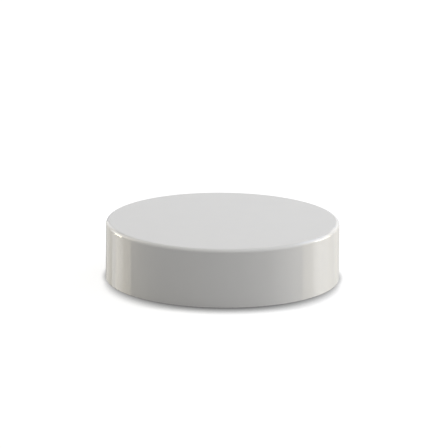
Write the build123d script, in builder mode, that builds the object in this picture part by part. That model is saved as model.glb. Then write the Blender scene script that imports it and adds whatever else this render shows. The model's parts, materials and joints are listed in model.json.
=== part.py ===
from build123d import *
from build123d.topology import SkipClean
import os
from math import cos, radians, sin, tan

# Screw lid for a wide-mouth jar: a smooth moulded cap with a continuous thread inside its skirt, and the
# foam disc under its panel that seals on the jar. The lid stands on its rim, mouth down. The origin is
# the centre of the rim's lower face, +Z points up through the flat top, and lengths are millimetres.

# Neck that the lid screws onto: nominal 70 mm, measured over its thread, six threads to the inch
neck_thread_diameter = 69.5
neck_clearance = 0.2
thread_pitch = 25.4 / 6

# Cap
lid_height = 18.0
skirt_wall = 1.05
panel_thickness = 1.5
skirt_draft_angle = 0.5
top_edge_radius = 1.2
inside_corner_radius = 0.4
mouth_lead_in_width = 0.35
mouth_lead_in_height = 0.6

# Ridge of the thread, a trapezoid with its narrow side towards the axis
thread_depth = 1.1
thread_crest_width = 1.0
thread_flank_angle = 30.0
thread_ramp_angle = 10.0
thread_rim_gap = 3.0
thread_liner_gap = 2.0

# Sealing disc
liner_thickness = 1.2
liner_clearance = 0.15

# How far the ridge is let into the skirt, and how far its blank reaches past the crest before it is cut
ridge_root_bite = 0.3
ridge_crest_excess = 0.2

root_radius = neck_thread_diameter / 2 + neck_clearance
crest_radius = root_radius - thread_depth
rim_radius = root_radius + skirt_wall
top_radius = rim_radius - lid_height * tan(radians(skirt_draft_angle))
panel_underside = lid_height - panel_thickness
liner_underside = panel_underside - liner_thickness
liner_radius = root_radius - inside_corner_radius - liner_clearance


def ridge_half_width(radius):
    """Half the ridge's width along the axis, at a distance from the axis."""
    return thread_crest_width / 2 + (radius - crest_radius) * tan(radians(thread_flank_angle))


# The thread runs from above the mouth to below the liner, in as many quarter turns as fit
ridge_root_width = 2 * ridge_half_width(root_radius)
thread_room = liner_underside - thread_liner_gap - thread_rim_gap - ridge_root_width
quarter_rise = thread_pitch / 4
quarter_turns = int(thread_room / quarter_rise)
thread_start_height = thread_rim_gap + ridge_root_width / 2


# One quarter turn of the ridge, from +X to +Y. Its crest is cut to a true cylinder.
blank_outer_radius = root_radius + ridge_root_bite
blank_inner_radius = crest_radius - ridge_crest_excess
blank_outer_half = ridge_half_width(blank_outer_radius)
blank_inner_half = ridge_half_width(blank_inner_radius)

with BuildPart() as quarter_ridge:
    with BuildLine() as ridge_path:
        Helix(thread_pitch, quarter_rise, root_radius)
    with BuildSketch(Plane.XZ) as ridge_section:
        with BuildLine():
            Polyline(
                (blank_outer_radius, -blank_outer_half),
                (blank_outer_radius, blank_outer_half),
                (blank_inner_radius, blank_inner_half),
                (blank_inner_radius, -blank_inner_half),
                close=True,
            )
        make_face()
    sweep(path=ridge_path.line, is_frenet=True)
    with BuildSketch(Plane.XY.offset(-blank_outer_half).rotated((0, 0, 180))) as crest_band:
        Circle(blank_outer_radius + ridge_root_bite)
        Circle(crest_radius, mode=Mode.SUBTRACT)
    extrude(amount=quarter_rise + 2 * blank_outer_half, mode=Mode.INTERSECT)


def ridge_end(root_angle, crest_angle):
    """A quarter of the ridge that rises from the wall in a flat ramp between two angles, in degrees."""
    foot_radius = root_radius + ridge_root_bite / 2
    foot = (foot_radius * cos(radians(root_angle)), foot_radius * sin(radians(root_angle)))
    head = (crest_radius * cos(radians(crest_angle)), crest_radius * sin(radians(crest_angle)))
    with BuildPart() as ramped_ridge:
        add(quarter_ridge.part)
        with BuildSketch(Plane.XY.offset(-blank_outer_half)):
            with BuildLine():
                Polyline((0, 0), foot, head, close=True)
            make_face()
        extrude(amount=quarter_rise + 2 * blank_outer_half, mode=Mode.SUBTRACT)
    return ramped_ridge.part


# Cap: a turned section with its edges rounded, then the thread added quarter by quarter
with BuildPart() as lid_shell:
    with BuildSketch(Plane.XZ) as cap_section:
        with BuildLine():
            Polyline(
                (0, lid_height),
                (top_radius, lid_height),
                (rim_radius, 0),
                (root_radius + mouth_lead_in_width, 0),
                (root_radius, mouth_lead_in_height),
                (root_radius, panel_underside),
                (0, panel_underside),
                close=True,
            )
        make_face()
    revolve(axis=Axis.Z)
    round_edges = lid_shell.edges().filter_by(GeomType.CIRCLE).group_by(Axis.Z)
    fillet(round_edges[-1], radius=top_edge_radius)
    fillet(round_edges[-2], radius=inside_corner_radius)
    for quarter in range(quarter_turns):
        if quarter == 0:
            piece = ridge_end(0, thread_ramp_angle)
        elif quarter == quarter_turns - 1:
            piece = ridge_end(90, 90 - thread_ramp_angle)
        else:
            piece = quarter_ridge.part
        height = thread_start_height + quarter * quarter_rise
        # Each quarter keeps its own crest face, so none of them winds round onto itself
        with SkipClean(), Locations(Location((0, 0, height), (0, 0, 90 * quarter))):
            add(piece)

lid_shell.part.label = "lid_shell"


# Liner: a disc cut from foam sheet, flat against the panel and held in by the thread's upper end
with BuildPart() as liner:
    with BuildSketch(Plane.XY.offset(liner_underside)):
        Circle(liner_radius)
    extrude(amount=liner_thickness)

liner.part.label = "liner"


os.makedirs("parts", exist_ok=True)
export_step(lid_shell.part, "parts/lid_shell.step")
export_step(liner.part, "parts/liner.step")
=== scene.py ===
"""A plain white screw lid for a wide-mouth jar, standing mouth down on a white studio table.

The cap is turned ring by ring from a circle, its thread is a ridge wound up the inside of the skirt, and a
foam disc lies under the panel. Lengths are in metres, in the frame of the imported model: +Z is up, and the
origin is the centre of the rim's lower face.
"""

import json
import logging
from collections.abc import Callable
from dataclasses import dataclass
from enum import Enum
from math import acos, atan2, cos, pi, radians, sin, tan

import bpy
from mathutils import Matrix, Quaternion, Vector

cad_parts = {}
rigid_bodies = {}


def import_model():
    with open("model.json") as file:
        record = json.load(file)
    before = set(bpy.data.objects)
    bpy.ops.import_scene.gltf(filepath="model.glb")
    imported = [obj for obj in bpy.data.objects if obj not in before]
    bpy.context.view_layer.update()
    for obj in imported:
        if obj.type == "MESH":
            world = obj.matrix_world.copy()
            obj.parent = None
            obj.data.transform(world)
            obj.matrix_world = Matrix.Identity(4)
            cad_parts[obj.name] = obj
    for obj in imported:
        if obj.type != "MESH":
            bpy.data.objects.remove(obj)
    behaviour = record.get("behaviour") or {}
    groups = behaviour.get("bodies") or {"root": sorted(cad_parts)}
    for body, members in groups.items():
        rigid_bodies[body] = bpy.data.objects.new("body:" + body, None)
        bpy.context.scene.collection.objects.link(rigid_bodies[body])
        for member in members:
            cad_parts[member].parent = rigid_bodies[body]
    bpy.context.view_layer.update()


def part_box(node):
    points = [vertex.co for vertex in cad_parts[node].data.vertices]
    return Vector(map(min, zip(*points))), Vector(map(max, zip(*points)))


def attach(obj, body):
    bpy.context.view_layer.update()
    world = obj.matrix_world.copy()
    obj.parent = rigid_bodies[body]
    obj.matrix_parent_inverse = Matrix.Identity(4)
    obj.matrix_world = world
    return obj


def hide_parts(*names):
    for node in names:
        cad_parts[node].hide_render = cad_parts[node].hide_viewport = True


LOG = logging.getLogger("jar_lid")
MM = 0.001

# Straight steps in a full turn, in a rounding of the cap's outline, and in a rounding of a smaller outline
TURN_STEPS = 288
CAP_EDGE_STEPS = 10
SMALL_EDGE_STEPS = 4

# Edges sharper than this stay sharp, and the weight that large faces have in the normals
SMOOTH_DEGREES = 35.0
LARGE_FACE_WEIGHT = 100

# Rings that divide the flat faces between their middle and their edge
INNER_RING = 8 * MM
MIDDLE_RING = 20 * MM
OUTER_RING = 30 * MM

Point = tuple[float, float]
Corner = tuple[Point, float]
Span = tuple[float, float]
Colour = tuple[float, float, float]


class Operation(Enum):
    """What a boolean does with its cutter."""

    UNION = "UNION"
    DIFFERENCE = "DIFFERENCE"


class Tint(Enum):
    """Colours of the lamps."""

    WHITE = (1.0, 1.0, 1.0)
    SOFT = (1.0, 0.95, 0.85)
    WARM = (1.0, 0.9, 0.7)
    AMBER = (1.0, 0.8, 0.5)
    COOL = (0.65, 0.75, 1.0)


def shaded(colour: Colour, factor: float) -> tuple[float, float, float, float]:
    """Make a colour darker or lighter, for a socket that also holds an alpha.

    Args:
        colour: the colour, as linear red, green and blue.
        factor: what each channel is multiplied by.

    Returns:
        The channels, none above 1, and a full alpha.
    """
    return (*[min(1.0, channel * factor) for channel in colour], 1.0)


def deselect_all() -> None:
    """Leave no object selected."""
    bpy.ops.object.select_all(action="DESELECT")


def make_active(piece: bpy.types.Object) -> None:
    """Select one object alone and make it the active one."""
    deselect_all()
    piece.select_set(True)
    bpy.context.view_layer.objects.active = piece


def select_faces(piece: bpy.types.Object, wanted: Callable[[bpy.types.MeshPolygon], bool]) -> None:
    """Select a piece's faces by a test, and enter edit mode on them.

    Args:
        piece: the mesh object.
        wanted: says of each face whether it is to be selected.
    """
    make_active(piece)
    bpy.context.tool_settings.mesh_select_mode = (False, False, True)
    bpy.ops.object.mode_set(mode="EDIT")
    bpy.ops.mesh.select_all(action="DESELECT")
    bpy.ops.object.mode_set(mode="OBJECT")
    for face in piece.data.polygons:
        face.select = wanted(face)
    bpy.ops.object.mode_set(mode="EDIT")


def apply_place(piece: bpy.types.Object) -> None:
    """Move an object's place, turn and scale into its mesh."""
    make_active(piece)
    bpy.ops.object.transform_apply(location=True, rotation=True, scale=True)


def apply_boolean(piece: bpy.types.Object, cutter: bpy.types.Object, operation: Operation) -> None:
    """Join another closed mesh to a piece, or cut it away, and remove the other object.

    Args:
        piece: the mesh that stays.
        cutter: the mesh that is used up.
        operation: whether it is added or taken away.
    """
    make_active(piece)
    modifier = piece.modifiers.new("boolean", "BOOLEAN")
    modifier.operation = operation.value
    modifier.solver = "EXACT"
    modifier.object = cutter
    bpy.ops.object.modifier_apply(modifier=modifier.name)
    bpy.data.objects.remove(cutter)


def weld(piece: bpy.types.Object, distance: float) -> None:
    """Merge the points of a closed mesh that all but coincide, as a boolean leaves them.

    Args:
        piece: the mesh object.
        distance: how close together the points are.
    """
    make_active(piece)
    bpy.ops.object.mode_set(mode="EDIT")
    bpy.ops.mesh.select_all(action="SELECT")
    bpy.ops.mesh.remove_doubles(threshold=distance)
    bpy.ops.object.mode_set(mode="OBJECT")


def rounded_corners(corners: list[Corner], steps: int) -> list[Point]:
    """Round the corners of an open outline in a half plane.

    Args:
        corners: places as (radius, height), each with its rounding radius, which is 0 where it stays sharp.
        steps: how many straight steps each rounding has.

    Returns:
        The outline's points, with arcs in place of the rounded corners.
    """
    outline = []
    for index, (corner, radius) in enumerate(corners):
        if radius == 0 or index in (0, len(corners) - 1):
            outline.append(corner)
            continue
        here = Vector(corner)
        back = (Vector(corners[index - 1][0]) - here).normalized()
        ahead = (Vector(corners[index + 1][0]) - here).normalized()
        half_angle = acos(max(-1.0, min(1.0, back.dot(ahead)))) / 2
        centre = here + (back + ahead).normalized() * (radius / sin(half_angle))
        start = here + back * (radius / tan(half_angle)) - centre
        turn = start.angle_signed(here + ahead * (radius / tan(half_angle)) - centre)
        for step in range(steps + 1):
            outline.append(tuple(centre + Matrix.Rotation(-turn * step / steps, 2) @ start))
    return outline


def turned_wall(name: str, outline: list[Point]) -> bpy.types.Object:
    """Turn an outline round the lid's axis, by extruding a circle from ring to ring.

    Args:
        name: the new object's name.
        outline: points as (radius, height), none of them on the axis.

    Returns:
        The turned mesh, closed flat inside its first and last ring, with its normals outwards.
    """
    radius, height = outline[0]
    deselect_all()
    bpy.ops.mesh.primitive_circle_add(
        vertices=TURN_STEPS, radius=radius, fill_type="NOTHING", location=(0, 0, height)
    )
    wall = bpy.context.active_object
    wall.name = wall.data.name = name
    apply_place(wall)
    bpy.ops.object.mode_set(mode="EDIT")
    bpy.ops.mesh.select_all(action="SELECT")
    for next_radius, next_height in outline[1:]:
        ratio = next_radius / radius
        bpy.ops.mesh.extrude_edges_move(TRANSFORM_OT_translate={"value": (0, 0, next_height - height)})
        bpy.ops.transform.resize(value=(ratio, ratio, 1), center_override=(0, 0, next_height))
        radius, height = next_radius, next_height
    bpy.ops.mesh.select_all(action="SELECT")
    bpy.ops.mesh.fill_holes(sides=0)
    bpy.ops.object.mode_set(mode="OBJECT")
    select_faces(wall, lambda face: len(face.vertices) == TURN_STEPS)
    bpy.ops.mesh.poke()
    bpy.ops.mesh.select_all(action="SELECT")
    bpy.ops.mesh.normals_make_consistent(inside=False)
    bpy.ops.object.mode_set(mode="OBJECT")
    return wall


def shade_smooth(piece: bpy.types.Object) -> None:
    """Shade a piece smoothly except over its sharp edges, and let its large faces lead the normals."""
    make_active(piece)
    bpy.ops.object.shade_smooth_by_angle(angle=radians(SMOOTH_DEGREES))
    modifier = piece.modifiers.new("normals", "WEIGHTED_NORMAL")
    modifier.mode = "FACE_AREA"
    modifier.weight = LARGE_FACE_WEIGHT
    modifier.keep_sharp = True
    bpy.ops.object.modifier_apply(modifier=modifier.name)


def give_material(piece: bpy.types.Object, material: bpy.types.Material) -> None:
    """Make a material the only one of a piece."""
    piece.data.materials.clear()
    piece.data.materials.append(material)


class NodeGraph:
    """The nodes of a material or a world, added and linked by short calls."""

    def __init__(self, owner: bpy.types.Material | bpy.types.World, output: str) -> None:
        """Start from an empty graph with an output.

        Args:
            owner: the material or the world.
            output: the output node's type, without its ShaderNode prefix.
        """
        owner.use_nodes = True
        self.tree = owner.node_tree
        self.tree.nodes.clear()
        self.output = self.add(output)

    def add(
        self, kind: str, inputs: dict[str | int, object] | None = None, **settings: object
    ) -> bpy.types.Node:
        """Add a node.

        Args:
            kind: the node's type, without its ShaderNode prefix.
            inputs: for a socket's name or number, its value or the output that feeds it.
            settings: attributes of the node itself.

        Returns:
            The new node.
        """
        node = self.tree.nodes.new("ShaderNode" + kind)
        for name, value in settings.items():
            setattr(node, name, value)
        for socket, value in (inputs or {}).items():
            if isinstance(value, bpy.types.NodeSocket):
                self.tree.links.new(value, node.inputs[socket])
            else:
                node.inputs[socket].default_value = value
        return node

    def finish(self, shader: bpy.types.Node) -> None:
        """Link the last shader to the output's surface."""
        self.tree.links.new(shader.outputs[0], self.output.inputs["Surface"])


@dataclass(frozen=True)
class CapPlastic:
    """White moulded polypropylene: the skirt polished by its mould, the flat top finely eroded to a satin."""

    colour: Colour = (0.74, 0.735, 0.72)
    refraction: float = 1.49
    skirt_roughness: float = 0.07
    top_roughness: float = 0.55
    satin_from: float = 17.88 * MM
    satin_full: float = 17.985 * MM
    grain_scale: float = 9000.0
    grain_depth: float = 0.02 * MM
    skirt_grain: float = 0.01
    top_grain: float = 0.10
    flow_scale: float = 160.0
    roughness_spread: float = 0.07
    colour_spread: float = 0.015

    def material(self) -> bpy.types.Material:
        """Build the plastic.

        Returns:
            A material whose finish depends on the height on the lid.
        """
        material = bpy.data.materials.new("cap_polypropylene")
        graph = NodeGraph(material, "OutputMaterial")
        place = graph.add("TexCoord").outputs["Object"]
        height = graph.add("SeparateXYZ", {0: place}).outputs["Z"]
        satin = graph.add(
            "MapRange",
            {"Value": height, "From Min": self.satin_from, "From Max": self.satin_full},
            interpolation_type="SMOOTHSTEP",
        ).outputs["Result"]
        flow = graph.add(
            "TexNoise", {"Vector": place, "Scale": self.flow_scale, "Detail": 2.0, "Roughness": 0.5}
        ).outputs["Fac"]

        finish = graph.add(
            "MapRange", {"Value": satin, "To Min": self.skirt_roughness, "To Max": self.top_roughness}
        )
        cloudy = graph.add(
            "MapRange",
            {"Value": flow, "To Min": 1 - self.roughness_spread, "To Max": 1 + self.roughness_spread},
        )
        roughness = graph.add(
            "Math", {0: finish.outputs["Result"], 1: cloudy.outputs["Result"]}, operation="MULTIPLY"
        )
        tint = graph.add(
            "MixRGB",
            {
                "Fac": flow,
                "Color1": shaded(self.colour, 1 - self.colour_spread),
                "Color2": shaded(self.colour, 1 + self.colour_spread),
            },
        )

        # Grain of the mould: deeper on the satin top than on the polished skirt
        grain = graph.add(
            "TexNoise", {"Vector": place, "Scale": self.grain_scale, "Detail": 3.0, "Roughness": 0.6}
        )
        strength = graph.add(
            "MapRange", {"Value": satin, "To Min": self.skirt_grain, "To Max": self.top_grain}
        )
        bump = graph.add(
            "Bump",
            {
                "Distance": self.grain_depth,
                "Strength": strength.outputs["Result"],
                "Height": grain.outputs["Fac"],
            },
        )
        graph.finish(
            graph.add(
                "BsdfPrincipled",
                {
                    "IOR": self.refraction,
                    "Base Color": tint.outputs["Color"],
                    "Roughness": roughness.outputs["Value"],
                    "Normal": bump.outputs["Normal"],
                },
            )
        )
        return material


@dataclass(frozen=True)
class LinerFoam:
    """Expanded polyethylene foam: matt, white, with small closed cells under a thin skin."""

    colour: Colour = (0.80, 0.80, 0.79)
    refraction: float = 1.45
    roughness: float = 0.62
    cell: float = 0.45 * MM
    # Painted shade: how dark the cells' hollows are coloured
    painted_cell_shade: float = 0.94
    wave_scale: float = 220.0
    skin_depth: float = 0.12 * MM
    skin_strength: float = 0.35

    def material(self) -> bpy.types.Material:
        """Build the foam.

        Returns:
            A material with cells as bump, and painted shade in the cells' hollows.
        """
        material = bpy.data.materials.new("liner_foam_sheet")
        graph = NodeGraph(material, "OutputMaterial")
        place = graph.add("TexCoord").outputs["Object"]
        cells = graph.add(
            "TexVoronoi",
            {"Vector": place, "Scale": 1 / self.cell, "Randomness": 1.0},
            feature="SMOOTH_F1",
        ).outputs["Distance"]
        waves = graph.add(
            "TexNoise", {"Vector": place, "Scale": self.wave_scale, "Detail": 3.0, "Roughness": 0.55}
        ).outputs["Fac"]
        # Painted shade: the cells' hollows, where the bump is lowest, are coloured darker
        shade = graph.add(
            "MixRGB",
            {"Fac": cells, "Color1": shaded(self.colour, self.painted_cell_shade), "Color2": (*self.colour, 1.0)},
        )
        height = graph.add("Math", {0: cells, 1: waves}, operation="ADD")
        bump = graph.add(
            "Bump",
            {
                "Strength": self.skin_strength,
                "Distance": self.skin_depth,
                "Height": height.outputs["Value"],
            },
        )
        graph.finish(
            graph.add(
                "BsdfPrincipled",
                {
                    "Roughness": self.roughness,
                    "IOR": self.refraction,
                    "Base Color": shade.outputs["Color"],
                    "Normal": bump.outputs["Normal"],
                },
            )
        )
        return material


@dataclass(frozen=True)
class TableWhite:
    """A white table that keeps the lid's shadow.

    The camera sees it lifted to white, with the lamps' shadow and a contact shadow painted by ambient
    occlusion, long and deep in front of the lid and short at its sides. The lid's polished skirt sees it as a
    waxed sheet with a warm painted sheen, and all else sees a mid grey.
    """

    grey: Colour = (0.4, 0.4, 0.4)
    wax: float = 0.4
    wax_roughness: float = 0.02
    # Painted sheen: warm light that the table gives off to glossy rays only, seen as a reflection in the
    # skirt
    painted_sheen: float = 0.18
    painted_sheen_colour: Colour = (1.0, 0.9, 0.4)
    camera_white: float = 0.35
    camera_lift: float = 0.75
    front: float = -36 * MM
    sides: float = -8 * MM
    front_reach: float = 8.5 * MM
    side_reach: float = 1.8 * MM
    front_depth: float = 2.8
    side_depth: float = 1.0
    shadow_samples: int = 16

    def seen_by_light(self, graph: NodeGraph, glossy: bpy.types.NodeSocket) -> bpy.types.Node:
        """Build what the rays that don't come from the camera see.

        Args:
            graph: the table's nodes.
            glossy: the output that tells a glossy ray.

        Returns:
            The shader.
        """
        plain = graph.add("BsdfDiffuse", {"Color": (*self.grey, 1.0)})
        # Painted sheen: a warm emission that only glossy rays see, which brightens the polished skirt's
        # reflection
        tint = graph.add(
            "MixRGB", {"Fac": glossy, "Color1": (0.0, 0.0, 0.0, 1.0), "Color2": (*self.painted_sheen_colour, 1.0)}
        )
        painted_sheen = graph.add("Emission", {"Strength": self.painted_sheen, "Color": tint.outputs["Color"]})
        even = graph.add("AddShader", {0: plain.outputs[0], 1: painted_sheen.outputs[0]})
        waxed = graph.add("BsdfGlossy", {"Color": (1.0, 1.0, 1.0, 1.0), "Roughness": self.wax_roughness})
        share = graph.add("Math", {0: glossy, 1: self.wax}, operation="MULTIPLY")
        return graph.add(
            "MixShader", {"Fac": share.outputs["Value"], 1: even.outputs[0], 2: waxed.outputs[0]}
        )

    def contact(self, graph: NodeGraph) -> bpy.types.NodeSocket:
        """Build the painted contact shadow: the table darkened by ambient occlusion near the lid's rim.

        Args:
            graph: the table's nodes.

        Returns:
            The output that is 1 on the open table and falls towards the lid's rim.
        """
        place = graph.add("TexCoord").outputs["Object"]
        across = graph.add("SeparateXYZ", {0: place}).outputs["Y"]
        ends = ((self.front_reach, self.side_reach), (self.front_depth, self.side_depth))
        reach, depth = [
            graph.add(
                "MapRange",
                {
                    "Value": across,
                    "From Min": self.front,
                    "From Max": self.sides,
                    "To Min": at_front,
                    "To Max": at_sides,
                },
            ).outputs["Result"]
            for at_front, at_sides in ends
        ]
        # Painted shadow: nearness to the lid, read by ambient occlusion, darkens the table
        near = graph.add("AmbientOcclusion", {"Distance": reach}, samples=self.shadow_samples)
        return graph.add("Math", {0: near.outputs["AO"], 1: depth}, operation="POWER").outputs["Value"]

    def seen_by_camera(self, graph: NodeGraph) -> bpy.types.Node:
        """Build what the camera sees.

        Args:
            graph: the table's nodes.

        Returns:
            The shader.
        """
        contact = self.contact(graph)
        # The painted contact shadow darkens both the lit white, which also keeps the lamps' real shadow, and
        # the lift
        paper = graph.add("Math", {0: contact, 1: self.camera_white}, operation="MULTIPLY")
        bright = graph.add("BsdfDiffuse", {"Color": paper.outputs["Value"]})
        lift = graph.add("Emission", {"Strength": self.camera_lift, "Color": contact})
        return graph.add("AddShader", {0: bright.outputs[0], 1: lift.outputs[0]})

    def material(self) -> bpy.types.Material:
        """Build the table's white.

        Returns:
            The material.
        """
        material = bpy.data.materials.new("table_white")
        graph = NodeGraph(material, "OutputMaterial")
        rays = graph.add("LightPath").outputs
        light = self.seen_by_light(graph, rays["Is Glossy Ray"])
        camera = self.seen_by_camera(graph)
        graph.finish(
            graph.add(
                "MixShader", {"Fac": rays["Is Camera Ray"], 1: light.outputs[0], 2: camera.outputs[0]}
            )
        )
        return material


@dataclass
class MouldedCap:
    """The cap: panel, skirt and thread in one moulding."""

    rim_radius: float
    height: float
    skirt_wall: float = 1.05 * MM
    panel_thickness: float = 1.5 * MM
    draft_degrees: float = 0.5
    top_edge_radius: float = 1.2 * MM
    top_edge_support: float = 0.12 * MM
    inside_corner_radius: float = 0.4 * MM
    lead_in_width: float = 0.35 * MM
    lead_in_height: float = 0.6 * MM
    rim_edge_radius: float = 0.08 * MM
    pitch: float = 25.4 * MM / 6
    quarter_turns: int = 7
    thread_depth: float = 1.1 * MM
    crest_width: float = 1.0 * MM
    flank_degrees: float = 30.0
    thread_rim_gap: float = 3.0 * MM
    ramp_degrees: float = 10.0
    crest_edge_radius: float = 0.15 * MM
    root_fillet_radius: float = 0.22 * MM
    root_bite: float = 0.3 * MM
    root_sink: float = 0.004 * MM

    # The block that cuts the thread's end: its length, and how far it is set on, in lengths of the ramp and
    # of itself, its depth in thread depths, and its height in pitches
    block_length_share: float = 2.3
    block_shift_share: float = 0.1
    block_depth_share: float = 4.0
    block_height_share: float = 0.97

    @property
    def root_radius(self) -> float:
        """Inside radius of the skirt, between the turns of the thread."""
        return self.rim_radius - self.skirt_wall

    @property
    def crest_radius(self) -> float:
        """Radius that the thread leaves open."""
        return self.root_radius - self.thread_depth

    @property
    def root_half_width(self) -> float:
        """Half the ridge's width where it leaves the skirt."""
        return self.crest_width / 2 + self.thread_depth * tan(radians(self.flank_degrees))

    def section(self) -> list[Point]:
        """The cap's outline, from near the middle of its top, round the rim, to that of its underside."""
        top_radius = self.rim_radius - self.height * tan(radians(self.draft_degrees))
        under = self.height - self.panel_thickness
        chamfer_radius = self.root_radius + self.lead_in_width
        corners = [
            ((INNER_RING, self.height), 0),
            ((MIDDLE_RING, self.height), 0),
            ((top_radius - self.top_edge_radius - self.top_edge_support, self.height), 0),
            ((top_radius, self.height), self.top_edge_radius),
            ((self.rim_radius, 0), self.rim_edge_radius),
            ((chamfer_radius, 0), self.rim_edge_radius),
            ((self.root_radius, self.lead_in_height), self.rim_edge_radius),
            ((self.root_radius, under), self.inside_corner_radius),
            ((MIDDLE_RING, under), 0),
            ((INNER_RING, under), 0),
        ]
        return rounded_corners(corners, CAP_EDGE_STEPS)

    def ridge_section(self) -> list[Point]:
        """The thread's section, as (radius, height from its middle), with its crest and roots rounded."""
        wall = self.root_radius + self.root_sink
        reach = self.root_half_width + 3 * self.root_fillet_radius
        half_crest = self.crest_width / 2
        corners = [
            ((wall + self.root_bite, -reach), 0),
            ((wall, -reach), 0),
            ((wall, -self.root_half_width), self.root_fillet_radius),
            ((self.crest_radius, -half_crest), self.crest_edge_radius),
            ((self.crest_radius, half_crest), self.crest_edge_radius),
            ((wall, self.root_half_width), self.root_fillet_radius),
            ((wall, reach), 0),
            ((wall + self.root_bite, reach), 0),
        ]
        return rounded_corners(corners, SMALL_EDGE_STEPS)

    def wound_ridge(self) -> bpy.types.Object:
        """Wind the ridge's section up the inside of the skirt.

        Returns:
            The closed ridge, with a flat ramp at both ends.
        """
        section = self.ridge_section()
        turn = pi / 2 * self.quarter_turns
        lead = radians(self.ramp_degrees) / 2
        rise = self.pitch / (2 * pi)
        start = self.thread_rim_gap + self.root_half_width
        deselect_all()
        bpy.ops.mesh.primitive_circle_add(vertices=len(section), radius=MM, fill_type="NOTHING")
        ridge = bpy.context.active_object
        ridge.name = ridge.data.name = "thread_ridge"
        for vertex, (radius, height) in zip(ridge.data.vertices, section):
            vertex.co = (radius * cos(lead), -radius * sin(lead), start - rise * lead + height)
        screw = ridge.modifiers.new("wind", "SCREW")
        screw.axis = "Z"
        screw.angle = turn + 2 * lead
        screw.screw_offset = rise * screw.angle
        screw.steps = screw.render_steps = round(TURN_STEPS * screw.angle / (2 * pi))
        screw.use_merge_vertices = False
        bpy.ops.object.modifier_apply(modifier=screw.name)
        bpy.ops.object.mode_set(mode="EDIT")
        bpy.ops.mesh.select_all(action="SELECT")
        bpy.ops.mesh.fill_holes(sides=0)
        bpy.ops.mesh.select_all(action="SELECT")
        bpy.ops.mesh.normals_make_consistent(inside=False)
        bpy.ops.object.mode_set(mode="OBJECT")
        apply_boolean(ridge, self.ramp_block(0.0, start, 1), Operation.DIFFERENCE)
        apply_boolean(ridge, self.ramp_block(turn, start + rise * turn, -1), Operation.DIFFERENCE)
        return ridge

    def ramp_block(self, angle: float, height: float, way: int) -> bpy.types.Object:
        """Make the block that cuts one end of the ridge off flat, so that it runs out into the skirt.

        Args:
            angle: where the ridge ends, round the axis.
            height: the middle of the ridge there.
            way: 1 where the ridge goes on with a growing angle, -1 where it comes from a smaller one.

        Returns:
            The block, with one face on the ramp.
        """
        crest_angle = angle + way * radians(self.ramp_degrees)
        root_place = Vector((cos(angle) * self.root_radius, sin(angle) * self.root_radius, height))
        crest_place = Vector(
            (cos(crest_angle) * self.crest_radius, sin(crest_angle) * self.crest_radius, height)
        )
        slope = (crest_place - root_place).normalized()
        inward = Vector((0, 0, 1)).cross(slope) * way
        length = self.block_length_share * (crest_place - root_place).length
        depth = self.block_depth_share * self.thread_depth
        middle = (root_place + crest_place) / 2
        centre = middle + slope * self.block_shift_share * length + inward * depth / 2
        deselect_all()
        bpy.ops.mesh.primitive_cube_add(size=1, location=centre)
        block = bpy.context.active_object
        block.rotation_euler = (0, 0, atan2(slope.y, slope.x))
        block.scale = (length, depth, self.block_height_share * self.pitch)
        apply_place(block)
        return block

    def build(self) -> bpy.types.Object:
        """Model the cap.

        Returns:
            The finished mesh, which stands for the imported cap.
        """
        cap = turned_wall("moulded_cap", self.section())
        apply_boolean(cap, self.wound_ridge(), Operation.UNION)
        weld(cap, self.root_sink / 2)
        shade_smooth(cap)
        give_material(cap, CapPlastic().material())
        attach(cap, "root")
        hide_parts("lid_shell")
        return cap


@dataclass
class FoamLiner:
    """The sealing disc, cut from foam sheet and laid under the panel."""

    radius: float
    underside: float
    upper_side: float
    edge_radius: float = 0.2 * MM

    def section(self) -> list[Point]:
        """The disc's outline, from near the middle of its upper side to that of its underside."""
        corners = [
            ((INNER_RING, self.upper_side), 0),
            ((self.radius, self.upper_side), self.edge_radius),
            ((self.radius, self.underside), self.edge_radius),
            ((OUTER_RING, self.underside), 0),
            ((MIDDLE_RING, self.underside), 0),
            ((INNER_RING, self.underside), 0),
        ]
        return rounded_corners(corners, SMALL_EDGE_STEPS)

    def build(self) -> bpy.types.Object:
        """Model the disc.

        Returns:
            The finished mesh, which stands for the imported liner.
        """
        disc = turned_wall("foam_liner", self.section())
        shade_smooth(disc)
        give_material(disc, LinerFoam().material())
        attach(disc, "root")
        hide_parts("liner")
        return disc


@dataclass(frozen=True)
class Softbox:
    """An area lamp that faces the lid, given by the angles in degrees that it fills as seen from the lid.

    Azimuths are measured from the camera's side of the lid, positive to the right. An elevation past 90 is
    over the lid and beyond.
    """

    name: str
    azimuths: Span
    elevations: Span
    watts: float
    tint: Tint
    distance: float = 0.80

    def length(self, span: Span) -> float:
        """The length that a span of angles takes up at the lamp's distance."""
        return 2 * self.distance * tan(radians(span[1] - span[0]) / 2)

    def build(self, aim: Vector) -> bpy.types.Object:
        """Place the lamp.

        Args:
            aim: the point it faces.

        Returns:
            The lamp's object.
        """
        turn, rise = radians(sum(self.azimuths) / 2), radians(sum(self.elevations) / 2)
        away = Vector((sin(turn) * cos(rise), -cos(turn) * cos(rise), sin(rise)))
        deselect_all()
        bpy.ops.object.light_add(type="AREA", location=aim + away * self.distance)
        lamp = bpy.context.active_object
        lamp.name = self.name
        lamp.rotation_euler = away.to_track_quat("Z", "Y").to_euler()
        lamp.data.shape = "RECTANGLE"
        lamp.data.size = self.length(self.azimuths)
        lamp.data.size_y = self.length(self.elevations)
        lamp.data.energy = self.watts
        lamp.data.color = self.tint.value
        lamp.visible_camera = False
        return lamp


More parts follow.
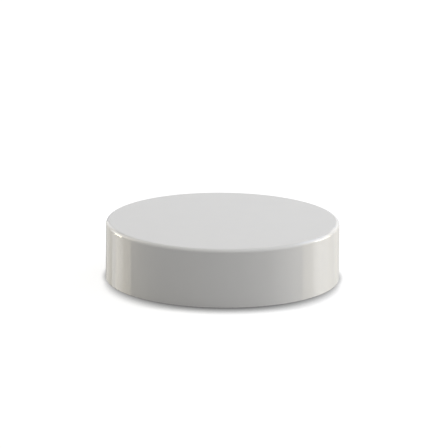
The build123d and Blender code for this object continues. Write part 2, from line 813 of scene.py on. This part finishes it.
@dataclass
class Studio:
    """White table, soft lamps and a dim room."""

    table_size: float = 8.0
    room_light: float = 0.3
    room_colour: Colour = (0.85, 0.9, 1.0)

    def build_table(self, height: float) -> bpy.types.Object:
        """Lay the table under the lid.

        Args:
            height: the height of the surface that the lid stands on.

        Returns:
            The table's object.
        """
        deselect_all()
        bpy.ops.mesh.primitive_plane_add(size=self.table_size, location=(0, 0, height))
        table = bpy.context.active_object
        table.name = "studio_table"
        give_material(table, TableWhite().material())
        return table

    def build_room(self) -> bpy.types.World:
        """Make the room white to the camera and dim to everything else.

        Returns:
            The world.
        """
        world = bpy.data.worlds.new("studio_room")
        bpy.context.scene.world = world
        graph = NodeGraph(world, "OutputWorld")
        by_camera = graph.add("LightPath").outputs["Is Camera Ray"]
        dim = graph.add("Background", {"Color": (*self.room_colour, 1.0), "Strength": self.room_light})
        white = graph.add("Background", {"Color": (1.0, 1.0, 1.0, 1.0), "Strength": 1.0})
        graph.finish(graph.add("MixShader", {"Fac": by_camera, 1: dim.outputs[0], 2: white.outputs[0]}))
        return world

    def lamps(self) -> list[Softbox]:
        """The studio's soft lamps, from above, then round the left and round the right."""
        return [
            Softbox("overhead", (-31, 31), (59, 121), 1.65, Tint.SOFT, distance=0.75),
            Softbox("front_high", (-20.5, 20.5), (35.5, 70.5), 0.7, Tint.SOFT),
            Softbox("left_front", (-50, -20), (0, 50), 0.15, Tint.AMBER),
            Softbox("left_edge", (-113.5, -100), (8, 25), 0.4, Tint.WARM),
            Softbox("left_key_low", (-127.5, -113.5), (0, 5), 0.8, Tint.WARM),
            Softbox("left_key", (-127.5, -113.5), (8, 25), 0.6, Tint.SOFT),
            Softbox("left_key_rear", (-137, -127.5), (0, 25), 0.35, Tint.WHITE),
            Softbox("left_rear", (-161, -137), (0, 25), 0.3, Tint.SOFT),
            Softbox("left_high", (-135, -100), (25, 50), 0.65, Tint.SOFT),
            Softbox("back_left", (-180, -148), (0, 30), 0.2, Tint.COOL),
            Softbox("right_front", (20, 50), (0, 50), 0.25, Tint.WHITE),
            Softbox("right_side", (50, 80), (0, 50), 0.95, Tint.WHITE),
            Softbox("right_edge", (84, 100), (6, 25), 0.55, Tint.WARM),
            Softbox("right_key_low", (100, 113), (0, 6), 0.85, Tint.SOFT),
            Softbox("right_key", (100, 113), (6, 25), 0.75, Tint.SOFT),
            Softbox("right_key_rear_low", (113, 126), (0, 6), 0.45, Tint.WARM),
            Softbox("right_key_rear", (113, 126), (6, 25), 0.45, Tint.SOFT),
            Softbox("right_link", (126, 132), (0, 25), 0.15, Tint.WARM),
            Softbox("right_high", (95, 135), (25, 50), 1.45, Tint.COOL),
            Softbox("back_right", (132, 155), (0, 25), 0.35, Tint.SOFT),
            Softbox("back_right_rear", (155, 180), (0, 25), 0.3, Tint.WHITE),
        ]

    def build(self, aim: Vector, floor: float) -> None:
        """Set up the table, the room and the lamps.

        Args:
            aim: the point that the lamps face.
            floor: the height of the table's surface.
        """
        self.build_table(floor)
        self.build_room()
        for lamp in self.lamps():
            lamp.build(aim)
            LOG.info("lamp %s", lamp.name)


@dataclass(frozen=True)
class PhotoCamera:
    """A long lens that looks down on the lid a little, from the photograph's side."""

    distance: float = 1.163
    elevation: float = 14.40
    roll: float = 0.54
    lens: float = 303.9
    sensor_width: float = 36.0
    nearest: float = 0.01
    farthest: float = 50.0
    aim: tuple[float, float, float] = (0.37 * MM, 0.0, 16.70 * MM)

    def build(self) -> bpy.types.Object:
        """Place the camera and make it the scene's.

        Returns:
            The camera's object.
        """
        rise = radians(self.elevation)
        away = Vector((0, -cos(rise), sin(rise)))
        deselect_all()
        bpy.ops.object.camera_add(location=Vector(self.aim) + away * self.distance)
        camera = bpy.context.active_object
        level = away.to_track_quat("Z", "Y")
        camera.rotation_euler = (level @ Quaternion((0, 0, 1), radians(self.roll))).to_euler()
        camera.data.lens = self.lens
        camera.data.sensor_width = self.sensor_width
        camera.data.clip_start = self.nearest
        camera.data.clip_end = self.farthest
        bpy.context.scene.camera = camera
        return camera


def main() -> None:
    """Load the frame and build the lid, the studio and the camera in order."""
    logging.basicConfig(level=logging.INFO, format="%(name)s: %(message)s")
    bpy.ops.object.select_all(action="SELECT")
    bpy.ops.object.delete()
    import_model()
    bpy.context.scene.view_settings.view_transform = "Standard"

    low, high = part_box("lid_shell")
    cap = MouldedCap(rim_radius=high.x, height=high.z - low.z).build()
    LOG.info("piece %s", cap.name)
    liner_low, liner_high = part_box("liner")
    liner = FoamLiner(radius=liner_high.x, underside=liner_low.z, upper_side=liner_high.z).build()
    LOG.info("piece %s", liner.name)

    Studio().build(aim=Vector((0, 0, high.z / 2)), floor=low.z)
    PhotoCamera().build()


if __name__ == "__main__":
    main()
